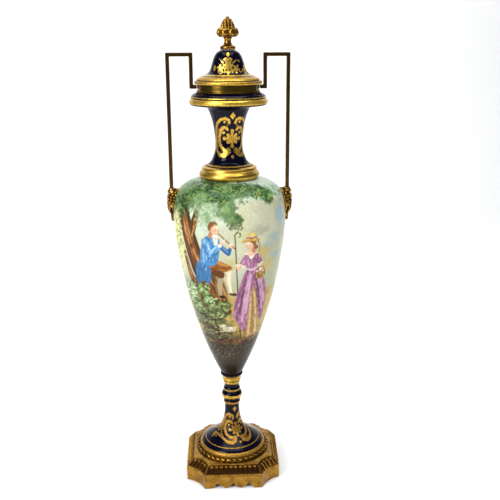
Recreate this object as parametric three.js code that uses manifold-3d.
// A lidded mantel urn: porcelain with a cobalt-blue ground and a painted ovoid body, in gilt-bronze mounts.
// Millimetres, +Z up. The origin is on the ground, under the urn's axis. The painted front faces -Y,
// and the two handles stand out along -X and +X.
import * as THREE from "three";
import { mergeVertices } from "three/addons/utils/BufferGeometryUtils.js";
import { LoftGeometry } from "three/addons/geometries/LoftGeometry.js";
import { ParametricGeometry } from "three/addons/geometries/ParametricGeometry.js";
import Module from "manifold-3d";

const wasm = await Module();
wasm.setup();

// ---- Driving dimensions ----
const FIT_GAP = 0.3; // the clearance between two pieces that rest on each other
const WALL = 4; // porcelain wall
const CASTING_WALL = 3.2; // bronze wall of the plinth
const ROUND_STEPS = 20; // facets round a turned piece
const BODY_STEPS = 24; // and round the wide body

const APRON_TOP = 19.4; // the plinth's upright apron ends here
const PLINTH_TOP = 30.6; // its flat top, which the porcelain foot stands on
const PLINTH_HALF = 62.2; // half of its width over two opposite sides
const PLINTH_SIDE_HALF = 38; // half of each straight side, between two hollow corners
const PLINTH_TOP_HALF = 53.2;
const PLINTH_TOP_SIDE_HALF = 33.4;
const CORNER_DIP = 4; // how deep a hollow corner curves in

const FOOT_EDGE = 44.4; // the porcelain foot's outer radius
const CUP_TOP = 141; // the top of the cup that holds the body
const CUP_RADIUS = 15;
const BODY_BOTTOM = 139;
const BODY_TOP = 406.6;
const BODY_RADIUS = 71.2; // the body's greatest radius
const BODY_WIDEST = 360; // and its height
const BODY_MOUTH = 24;
const NECK_BOTTOM = BODY_TOP + FIT_GAP;
const NECK_SPIGOT = 29.2; // the neck's foot, inside its collar
const MOUTH_TOP = 511.8; // the top of the neck's mouth
const MOUTH_RADIUS = 33.2;
const FLANGE_RADIUS = 48; // the mouth's gilded rim
const COLLAR_RADIUS = 37.8; // the plain brass collar on the mouth
const COLLAR_TOP = 520.6;
const LID_TOP = 560.6;
const FINIAL_TOP = 600;

const BAR = 4.5; // the handles are bent from square bar of this width
const BAR_OUTER = 72.7; // centre line of the long upright
const BAR_INNER = 44.7; // centre line of the short upright
const HANDLE_TOP = 558;
const HANDLE_ARM = 518; // centre line of the arm that meets the collar
const MASK_TOP = 392.2;

const COBALT = 0x0b0a2e;
const GILT = 0xb08a3a;
const BRASS = 0x8f6f2a;
const PAINTED = 0xa9b08c;

// ---- Outlines: lists of Vector2(radius, height) ----
const line = (...stations) => stations.map(([r, z]) => new THREE.Vector2(r, z));
const through = (stations, steps) => new THREE.SplineCurve(line(...stations)).getPoints(steps);

// A round moulding about (r, z), from one angle to another in degrees, where 0 points outwards and 90 up.
function moulding(r, z, width, height, from, to, steps) {
  const degrees = Math.PI / 180;
  const ellipse = new THREE.EllipseCurve(r, z, width, height, from * degrees, to * degrees, to < from);
  return ellipse.getPoints(steps);
}

// The outline moved sideways by a distance, to its left as it is walked.
function inset(outline, distance) {
  return outline.map((point, i) => {
    const ahead = outline[Math.min(i + 1, outline.length - 1)];
    const behind = outline[Math.max(i - 1, 0)];
    const along = ahead.clone().sub(behind).normalize();
    return new THREE.Vector2(point.x - along.y * distance, point.y + along.x * distance);
  });
}

// ---- Solids ----
function lathe(outline, steps = ROUND_STEPS) {
  return new THREE.LatheGeometry(outline, steps).rotateX(Math.PI / 2);
}

// A ring turned from a closed outline.
function turnedRing(outline, steps = ROUND_STEPS) {
  return lathe([...outline, outline[0].clone()], steps);
}

function toManifold(geometry) {
  const bare = new THREE.BufferGeometry();
  const plain = geometry.index ? geometry.toNonIndexed() : geometry;
  bare.setAttribute("position", plain.getAttribute("position").clone());
  const merged = mergeVertices(bare, 1e-4);
  return new wasm.Manifold(
    new wasm.Mesh({
      numProp: 3,
      vertProperties: merged.attributes.position.array,
      triVerts: new Uint32Array(merged.index.array),
    }),
  );
}

function toGeometry(manifold) {
  const { numProp, numVert, vertProperties, triVerts } = manifold.getMesh();
  const positions = new Float32Array(numVert * 3);
  for (let i = 0; i < numVert; i++) {
    positions.set(vertProperties.subarray(i * numProp, i * numProp + 3), i * 3);
  }
  return new THREE.BufferGeometry()
    .setAttribute("position", new THREE.BufferAttribute(positions, 3))
    .setIndex(new THREE.BufferAttribute(triVerts, 1));
}

const fuse = (geometries) => geometries.map(toManifold).reduce((whole, piece) => whole.add(piece));

// A rounded lump: a ball stretched to three radii, pitched about Y, turned about Z and put in place.
function lump([x, y, z], [rx, ry, rz], { pitch = 0, turn = 0, smooth = false } = {}) {
  const ball = smooth ? new THREE.SphereGeometry(1, 8, 6) : new THREE.IcosahedronGeometry(1.1);
  return ball.rotateX(Math.PI / 2).scale(rx, ry, rz).rotateY(pitch).rotateZ(turn).translate(x, y, z);
}

// A closed solid skinned through level outlines of equally many points, the lowest first.
const loft = (sections) => new LoftGeometry(sections, { capStart: true, capEnd: true });

// ---- The plinth ----
const CORNER_STEPS = 3;
const UP = new THREE.Vector3(0, 0, 1);

// The plinth's plan at one height: four straight sides joined by four hollow corners.
function plinthPlan(half, sideHalf, z) {
  const dip = (CORNER_DIP * (half - sideHalf)) / (PLINTH_HALF - PLINTH_SIDE_HALF);
  const points = [];
  for (let corner = 0; corner < 4; corner++) {
    const turn = (corner * Math.PI) / 2;
    for (let i = 0; i <= CORNER_STEPS; i++) {
      const t = i / CORNER_STEPS;
      const inwards = dip * 4 * t * (1 - t) * Math.SQRT1_2;
      const x = half + (sideHalf - half) * t - inwards;
      const y = sideHalf + (half - sideHalf) * t - inwards;
      points.push(new THREE.Vector3(x, y, z).applyAxisAngle(UP, turn));
    }
  }
  return points;
}

// The shaped lower edge of one side: two lobes meeting in a cusp, an arch beside each, then the feet.
function apronCut() {
  const cusp = 7.6; // height of the cusp between the lobes
  const lobe = 0.6; // of the lobes
  const arch = 6.8; // and of the arches
  const [lobeAt, archAt, footAt] = [10.2, 21.4, 29]; // how far each is from the middle
  const swing = (t) => (1 - Math.cos(Math.PI * t)) / 2;
  const edge = (away) => {
    if (away < lobeAt) return lobe + (cusp - lobe) * (1 - away / lobeAt) ** 2;
    if (away < archAt) return lobe + (arch - lobe) * swing((away - lobeAt) / (archAt - lobeAt));
    return arch * swing((footAt - away) / (footAt - archAt));
  };
  const half = [0, 3, 6.4, lobeAt, 14.4, 18, archAt, 25, footAt];
  const across = [...half.slice(1).reverse().map((x) => -x), ...half];
  const shape = new THREE.Shape([
    new THREE.Vector2(-footAt, -2),
    ...across.map((x) => new THREE.Vector2(x, edge(Math.abs(x)))),
    new THREE.Vector2(footAt, -2),
  ]);
  const length = 4 * PLINTH_HALF;
  return new THREE.ExtrudeGeometry(shape, { depth: length, bevelEnabled: false })
    .rotateX(Math.PI / 2)
    .translate(0, length / 2, 0);
}

// One upright leaf of the sloping border, standing at the origin and facing -Y.
function borderLeaf(width, height) {
  const shape = new THREE.Shape([
    new THREE.Vector2(-width * 0.4, 1),
    new THREE.Vector2(width * 0.4, 1),
    new THREE.Vector2(width / 2, height - width * 0.4),
    new THREE.Vector2(0, height),
    new THREE.Vector2(-width / 2, height - width * 0.4),
  ]);
  return new THREE.ExtrudeGeometry(shape, { depth: 2, bevelEnabled: false })
    .rotateX(Math.PI / 2)
    .translate(0, 1, 0);
}

function makePlinth() {
  const ledge = 1; // the border stands back from the apron by this much
  const sunk = 1.5; // and its ground lies this far back from its leaves and edges
  const borderBottom = APRON_TOP + 0.7;
  const borderTop = PLINTH_TOP - 1.4;
  const bottomHalf = PLINTH_HALF - ledge;
  const outside = loft([
    plinthPlan(PLINTH_HALF, PLINTH_SIDE_HALF, 0),
    plinthPlan(PLINTH_HALF, PLINTH_SIDE_HALF, APRON_TOP),
    plinthPlan(bottomHalf - sunk, PLINTH_SIDE_HALF - 1.6, borderBottom),
    plinthPlan(PLINTH_TOP_HALF - sunk, PLINTH_TOP_SIDE_HALF - 0.9, borderTop),
    plinthPlan(PLINTH_TOP_HALF, PLINTH_TOP_SIDE_HALF, borderTop + 0.2),
    plinthPlan(PLINTH_TOP_HALF, PLINTH_TOP_SIDE_HALF, PLINTH_TOP),
  ]);
  const inside = loft([
    plinthPlan(PLINTH_HALF - CASTING_WALL, PLINTH_SIDE_HALF - 1.5, -1),
    plinthPlan(PLINTH_HALF - CASTING_WALL, PLINTH_SIDE_HALF - 1.5, APRON_TOP - CASTING_WALL),
    plinthPlan(PLINTH_TOP_HALF - CASTING_WALL - 2, PLINTH_TOP_SIDE_HALF - 2.4, PLINTH_TOP - CASTING_WALL),
  ]);

  const lean = Math.atan2(bottomHalf - PLINTH_TOP_HALF, borderTop - borderBottom);
  const height = Math.hypot(bottomHalf - PLINTH_TOP_HALF, borderTop - borderBottom) - 0.8;
  const set = (leaf, across, out, facing) =>
    leaf.rotateX(-lean).translate(across, -out, borderBottom).rotateZ(facing);
  const leaves = [];
  const perSide = 10;
  const pitch = (2 * (PLINTH_TOP_SIDE_HALF - 1)) / perSide;
  const perCorner = 4;
  const cornerOut = (bottomHalf + PLINTH_SIDE_HALF) * Math.SQRT1_2 - CORNER_DIP - 1;
  for (let side = 0; side < 4; side++) {
    const facing = (side * Math.PI) / 2;
    for (let i = 0; i < perSide; i++) {
      const across = (i - (perSide - 1) / 2) * pitch;
      leaves.push(set(borderLeaf(pitch * 0.64, height), across, bottomHalf - sunk / 2, facing));
    }
    for (let i = 0; i < perCorner; i++) {
      const across = (i - (perCorner - 1) / 2) * 6;
      const bow = (across / 14) ** 2 * CORNER_DIP;
      leaves.push(set(borderLeaf(pitch * 0.6, height), across, cornerOut + bow, facing + Math.PI / 4));
    }
  }
  return toGeometry(
    toManifold(outside)
      .add(fuse(leaves))
      .subtract(toManifold(inside))
      .subtract(toManifold(apronCut()))
      .subtract(toManifold(apronCut().rotateZ(Math.PI / 2))),
  );
}

// ---- The rope ring round the porcelain foot: strands that wind round a ring, flat below ----
function makeRopeRing() {
  const radius = 47.4; // of the rope's centre line
  const half = 2;
  const swell = 0.45; // how far a strand stands out
  const strands = 38;
  const stations = 3 * strands;
  const sides = 4;
  const base = PLINTH_TOP + FIT_GAP;
  const surface = (u, v, target) => {
    const around = 2 * Math.PI * u;
    const turn = 2 * Math.PI * (v + 0.125);
    const thickness = half * 1.2 + swell * (Math.cos(strands * around + 2 * turn) - 1);
    const r = radius + thickness * Math.cos(turn);
    const z = Math.max(base, base + 1.6 + thickness * Math.sin(turn));
    target.set(r * Math.cos(around), r * Math.sin(around), z);
  };
  return new ParametricGeometry(surface, stations, sides);
}

// ---- The porcelain ----
// Foot, stem, knop and cup, hollow underneath like a trumpet.
function makeFoot() {
  const base = PLINTH_TOP + FIT_GAP;
  return lathe([
    ...line([0, 84], [4.6, 76], [9, 57], [22, 45], [FOOT_EDGE - WALL, 36], [FOOT_EDGE - WALL, base]),
    ...line([FOOT_EDGE, base], [FOOT_EDGE, 36.6], [43.8, 38.6], [42, 39.4]),
    ...line([39.6, 42.2], [31.4, 48], [20.5, 56], [16.3, 60.6], [12.6, 69.4], [10.4, 80], [9.7, 93.6]),
    ...line([11.1, 96], [11.1, 99.2], [10, 102.6]),
    ...moulding(10, 108.2, 3.8, 5.2, -60, 60, 3),
    ...line([10.2, 113.8], [11.3, 115.8], [11.3, 119], [9.8, 122], [11.3, 126], [11.2, 129]),
    ...line([12.5, 130.6], [12.4, 132.6], [CUP_RADIUS, 138.4], [CUP_RADIUS, CUP_TOP]),
    ...line([CUP_RADIUS - 1, CUP_TOP], [CUP_RADIUS - 1, BODY_BOTTOM - FIT_GAP], [0, BODY_BOTTOM - FIT_GAP]),
  ]);
}

// The ovoid body up to its shoulder: from the cup to the flat under the neck's collar.
function bodyOutline() {
  const belly = [
    [13.4, CUP_TOP - 0.6],
    [22.6, 160],
    [34.2, 188],
    [45.1, 220],
    [54.4, 252],
    [62.6, 290],
    [68.6, 328],
    [BODY_RADIUS, BODY_WIDEST],
  ];
  const shoulder = [
    [BODY_RADIUS, BODY_WIDEST],
    [68.4, 382.4],
    [62.4, 394],
    [54.2, 400.4],
    [45.3, 404.4],
    [36, BODY_TOP],
  ];
  return [...line([13, BODY_BOTTOM]), ...through(belly, 9), ...through(shoulder, 7).slice(1)];
}

function makeBody() {
  const outer = bodyOutline();
  const hollow = inset(outer.slice(1), WALL).filter((p, i) => i % 2 === 0 && p.x > 12);
  return lathe(
    [
      ...line([0, BODY_BOTTOM]),
      ...outer,
      ...line([BODY_MOUTH, BODY_TOP], [BODY_MOUTH, BODY_TOP - WALL - 0.4]),
      ...hollow.reverse().filter((p) => p.x > BODY_MOUTH + 6 || p.y < BODY_WIDEST),
      ...line([0, BODY_BOTTOM + 2 * WALL]),
    ],
    BODY_STEPS,
  );
}

// The waisted neck and the mouth's flange in one piece.
function makeNeck() {
  const side = through(
    [
      [NECK_SPIGOT, 422.4],
      [22.4, 428.4],
      [17.7, 440],
      [16.8, 449],
      [17.3, 459],
      [20.2, 477],
      [25.2, 491],
      [29.4, 495.6],
    ],
    9,
  );
  const throat = inset(side, WALL).filter((p, i) => i % 2 === 0 && p.x < MOUTH_RADIUS - 6);
  return turnedRing([
    ...line([BODY_MOUTH + 1, NECK_BOTTOM], [NECK_SPIGOT, NECK_BOTTOM]),
    ...side,
    ...line([43.8, 496.2]),
    ...moulding(44.6, 500.3, FLANGE_RADIUS - 44.6, 4.2, -72, 72, 4),
    ...line([46, 506.2], [43.8, 509.2], [39.4, MOUTH_TOP]),
    ...line([MOUTH_RADIUS, MOUTH_TOP], [MOUTH_RADIUS - 1.2, 503]),
    ...throat.reverse(),
  ]);
}

// The domed lid, hollow below, with a moulded rim and a spigot that drops inside the brass collar.
function makeLid() {
  const seat = COLLAR_TOP + FIT_GAP;
  const dome = through(
    [
      [29.7, 531.2],
      [24, 534.8],
      [21.6, 538.6],
      [18.4, 548.6],
      [16.4, 553.6],
      [13.6, 557.8],
      [9.4, LID_TOP],
    ],
    7,
  );
  const hollow = inset(dome.slice(0, -1), WALL).filter((p, i) => i % 2 === 0);
  return lathe([
    ...line([0, LID_TOP - WALL]),
    ...hollow.reverse(),
    ...line([31, 524.4], [31, seat - 4.4], [34.6, seat - 4.4], [34.6, seat]),
    ...moulding(39.5, seat + 2.3, 1.6, 2, -80, 60, 3),
    ...line([39, 525.6], [37.8, 527.8], [34.4, 529.8], [30.6, 531]),
    ...dome,
    ...line([0, LID_TOP]),
  ]);
}

// ---- Turned mounts ----
function makeNeckCollar() {
  const inner = NECK_SPIGOT + FIT_GAP + 0.1;
  return turnedRing([
    ...line([inner, NECK_BOTTOM], [35, NECK_BOTTOM]),
    ...moulding(34, 411.6, 3.6, 4.4, -60, 60, 3),
    ...moulding(32, 418.4, 2.4, 3, -10, 80, 2),
    ...line([inner, 422.6]),
  ]);
}

function makeMouthCollar() {
  const bottom = MOUTH_TOP + FIT_GAP;
  const inner = COLLAR_RADIUS - 2.4;
  return turnedRing([
    ...line([inner, bottom], [COLLAR_RADIUS + 1.1, bottom], [COLLAR_RADIUS + 1.1, bottom + 1.2]),
    ...line([COLLAR_RADIUS, bottom + 1.8], [COLLAR_RADIUS, COLLAR_TOP], [inner, COLLAR_TOP]),
  ]);
}

// ---- The finial: a cone of berries over a ring of fruit, on a turned stem ----
function makeFinial() {
  const base = LID_TOP + FIT_GAP;
  const stem = lathe(
    [
      ...line([0, base], [8.4, base]),
      ...moulding(7.6, base + 2.4, 1.7, 2.2, -60, 70, 3),
      ...line([5.6, 566.8], [3.8, 569.6], [3.7, 572], [4.6, 573.4], [4.6, 575], [6, 577]),
      ...line([9, 582], [8, 588], [4.6, 594], [0, 598]),
    ],
    10,
  );
  const lumps = [];
  const tier = (count, radius, height, size, start) => {
    for (let i = 0; i < count; i++) {
      const around = start + (i / count) * 2 * Math.PI;
      const centre = [radius * Math.cos(around), radius * Math.sin(around), height];
      lumps.push(lump(centre, [size, size, size], { turn: around }));
    }
  };
  tier(6, 8.8, 580.9, 5, 0);
  tier(5, 6.8, 587.4, 3.2, 0.5);
  tier(4, 4.6, 592.4, 3, 0);
  lumps.push(lump([0, 0, FINIAL_TOP - 2.6], [2.4, 2.4, 2.3]));
  return fuse([stem, ...lumps]);
}

// ---- Handles ----
// One handle's bar in its own plane, drawn as the outline of a bent square bar.
function makeHandle(side) {
  const half = BAR / 2;
  const top = HANDLE_TOP - half;
  const end = COLLAR_RADIUS + FIT_GAP;
  const foot = MASK_TOP + FIT_GAP;
  const outline = [
    [BAR_OUTER + half, foot],
    [BAR_OUTER + half, top + half],
    [BAR_INNER - half, top + half],
    [BAR_INNER - half, HANDLE_ARM + half],
    [end, HANDLE_ARM + half],
    [end, HANDLE_ARM - half],
    [BAR_INNER + half, HANDLE_ARM - half],
    [BAR_INNER + half, top - half],
    [BAR_OUTER - half, top - half],
    [BAR_OUTER - half, foot],
  ].map(([x, z]) => new THREE.Vector2(x * side, z));
  return new THREE.ExtrudeGeometry(new THREE.Shape(outline), { depth: BAR, bevelEnabled: false })
    .rotateX(Math.PI / 2)
    .translate(0, half, 0);
}

// A bearded classical mask looking out along +X, with a pendant leaf below, its back cut to the body.
function makeMask() {
  const parts = [
    // socket round the foot of the handle
    new THREE.CylinderGeometry(4.2, 6.4, 5, 8).rotateX(Math.PI / 2).translate(72, 0, MASK_TOP - 2.5),
    lump([69.6, 0, 381], [8.2, 8.4, 9], { pitch: -0.15, smooth: true }), // head
    lump([72, 0, 371.4], [6.2, 7.2, 6.6], { smooth: true }), // beard
    lump([77.2, 0, 379.4], [1.9, 1.5, 3.4], { pitch: -0.15 }), // nose
    lump([73, 0, 364.8], [4, 4.4, 5]), // point of the beard
    lump([71, 0, 357.6], [2.7, 3.2, 5]), // pendant leaf
    lump([70, 0, 351.8], [2, 2, 3]), // its tip
  ];
  for (const side of [-1, 1]) {
    parts.push(lump([75.8, 3.1 * side, 383.8], [2, 3, 1.4])); // brow
    parts.push(lump([76.4, 2.6 * side, 374], [2, 3.2, 1.6])); // moustache
    parts.push(lump([71.6, 6.6 * side, 372.6], [3.4, 2.8, 3.6])); // side of the beard
  }
  const curls = 7;
  for (let i = 0; i < curls; i++) {
    const around = (-0.56 + (1.12 * i) / (curls - 1)) * Math.PI;
    const y = 8 * Math.sin(around);
    const z = 380.4 + 7.8 * Math.cos(around);
    parts.push(lump([72.4 + 2.8 * Math.cos(around), y, z], [3.2, 3, 3.1]));
  }
  const clearance = bodyOutline()
    .filter((p) => p.y > BODY_WIDEST / 2)
    .map((p) => new THREE.Vector2(p.x + FIT_GAP, p.y + FIT_GAP));
  const ends = [clearance[0].y, BODY_TOP + FIT_GAP];
  const bodySpace = lathe([...line([0, ends[0]]), ...clearance, ...line([0, ends[1]])], BODY_STEPS);
  return fuse(parts).subtract(toManifold(bodySpace));
}

// ---- Assembly ----
const urn = new THREE.Group();

const finishes = {
  cobalt: new THREE.MeshStandardMaterial({ color: COBALT, roughness: 0.08, metalness: 0 }),
  painted: new THREE.MeshStandardMaterial({ color: PAINTED, roughness: 0.1, metalness: 0 }),
  gilt: new THREE.MeshStandardMaterial({ color: GILT, roughness: 0.32, metalness: 1 }),
  brass: new THREE.MeshStandardMaterial({ color: BRASS, roughness: 0.35, metalness: 1 }),
};

function add(name, geometry, finish) {
  const mesh = new THREE.Mesh(geometry, finishes[finish].clone());
  mesh.name = name;
  urn.add(mesh);
  return mesh;
}

add("plinth", makePlinth(), "gilt");
add("rope_ring", makeRopeRing(), "gilt");
add("foot", makeFoot(), "cobalt");
add("body", makeBody(), "painted");
add("neck_collar", makeNeckCollar(), "gilt");
add("neck", makeNeck(), "cobalt");
add("mouth_collar", makeMouthCollar(), "brass");
add("lid", makeLid(), "cobalt");
add("finial", toGeometry(makeFinial()), "gilt");

const mask = makeMask();
for (const [name, side] of [["left", -1], ["right", 1]]) {
  add(`handle_${name}`, makeHandle(side), "brass");
  add(`mask_${name}`, toGeometry(side > 0 ? mask : mask.mirror([1, 0, 0])), "gilt");
}

export default urn;
